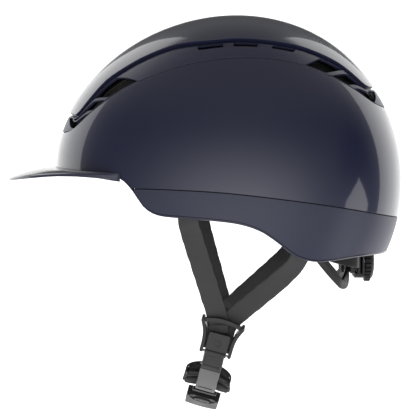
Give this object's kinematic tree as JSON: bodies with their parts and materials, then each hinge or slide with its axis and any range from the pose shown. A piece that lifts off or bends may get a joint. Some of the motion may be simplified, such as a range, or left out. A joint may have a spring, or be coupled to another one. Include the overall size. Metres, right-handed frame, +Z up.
{
  "type": "equestrian riding helmet",
  "caption": "Vented riding helmet with visor, foam liner, comfort pads, rear fit dial, and a webbing harness with dividers and a push-button chin buckle.",
  "frame": {"origin": "centre of the head opening at brow height, on the plane of symmetry", "axes": "+Z up through the crown, -X to the front and the visor, -Y to the wearer's left"},
  "size_m": [0.3122, 0.214, 0.3148],
  "materials": {
    "shell": "gloss navy",
    "shell_satin": "satin navy",
    "trim": "matte edging",
    "mesh": "fine black mesh",
    "foam": "moulded expanded foam",
    "liner_fabric": "wicking knit over foam",
    "hook_tape": "hook tape",
    "black_plastic": "moulded nylon",
    "charcoal_plastic": "satin nylon",
    "grey_plastic": "acetal",
    "rubber_grip": "ribbed rubber",
    "steel": "plated",
    "webbing": "charcoal woven webbing",
    "webbing_grey": "grey woven webbing"
  },
  "bodies": {
    "helmet": {"upper_shell": "shell", "lower_shell": "shell_satin", "rim_trim": "trim", "vent_frame": "shell_satin", "crown_panel": "shell", "insect_mesh_left": "mesh", "insect_mesh_right": "mesh", "visor": "shell_satin", "foam_liner": "foam", "brow_pad": "liner_fabric", "crown_pad": "liner_fabric", "side_pad_left": "liner_fabric", "side_pad_right": "liner_fabric", "nape_pad": "liner_fabric", "pad_fasteners": "hook_tape", "cradle": "black_plastic", "arm_left": "black_plastic", "arm_right": "black_plastic", "arm_anchors": "black_plastic", "dial_housing": "black_plastic", "housing_cover": "black_plastic", "detent_spring": "steel", "strap_front_left": "webbing", "strap_front_right": "webbing", "strap_rear_left": "webbing", "strap_rear_right": "webbing", "strap_anchors": "steel", "anchor_rivets": "steel", "divider_frame_left": "black_plastic", "divider_frame_right": "black_plastic", "divider_pin_left": "steel", "divider_pin_right": "steel", "strap_fold_left": "webbing", "strap_fold_right": "webbing", "chin_strap_left": "webbing_grey", "chin_strap_right": "webbing_grey", "buckle_body": "black_plastic", "buckle_cover": "black_plastic", "button_spring": "steel", "chin_pad": "liner_fabric"},
    "dial": {"pinion": "grey_plastic", "dial_knob": "black_plastic", "grip_ring": "rubber_grip", "dial_screw": "steel"},
    "left_rack": {"rack_left": "black_plastic"},
    "right_rack": {"rack_right": "black_plastic"},
    "left_flap": {"divider_flap_left": "charcoal_plastic"},
    "right_flap": {"divider_flap_right": "charcoal_plastic"},
    "button": {"buckle_button": "charcoal_plastic"},
    "tongue": {"buckle_tongue": "black_plastic"}
  },
  "joints": [
    {"name": "dial_turn", "type": "hinge", "parent": "helmet", "child": "dial", "pos_m": [0.11, 0, -0.0544], "axis": [-1, 0, 0], "range_deg": [0, 114]},
    {"name": "rack_left_slide", "type": "slide", "parent": "helmet", "child": "left_rack", "axis": [0, 1, 0], "range_m": [0, 0.012]},
    {"name": "rack_right_slide", "type": "slide", "parent": "helmet", "child": "right_rack", "axis": [0, -1, 0], "range_m": [0, 0.012]},
    {"name": "flap_left_hinge", "type": "hinge", "parent": "helmet", "child": "left_flap", "pos_m": [-0.00893, -0.06183, -0.12219], "axis": [0.9659, 0, -0.2588], "range_deg": [0, 95]},
    {"name": "flap_right_hinge", "type": "hinge", "parent": "helmet", "child": "right_flap", "pos_m": [-0.00893, 0.06183, -0.12219], "axis": [-0.9659, 0, 0.2588], "range_deg": [0, 95]},
    {"name": "button_press", "type": "slide", "parent": "helmet", "child": "button", "axis": [0.2364, 0.4067, 0.8824], "range_m": [0, 0.0012], "stiffness_N_per_m": 800, "springref_m": -0.001, "deforming": ["button_spring"]},
    {"name": "tongue_slide", "type": "slide", "parent": "helmet", "child": "tongue", "axis": [0.1053, -0.9135, 0.3929], "range_m": [0, 0.022], "deforming": ["chin_strap_left"]}
  ],
  "couplings": [
    {"joint": "rack_left_slide", "follows": "dial_turn", "m_per_rad": 0.006},
    {"joint": "rack_right_slide", "follows": "dial_turn", "m_per_rad": 0.006}
  ]
}
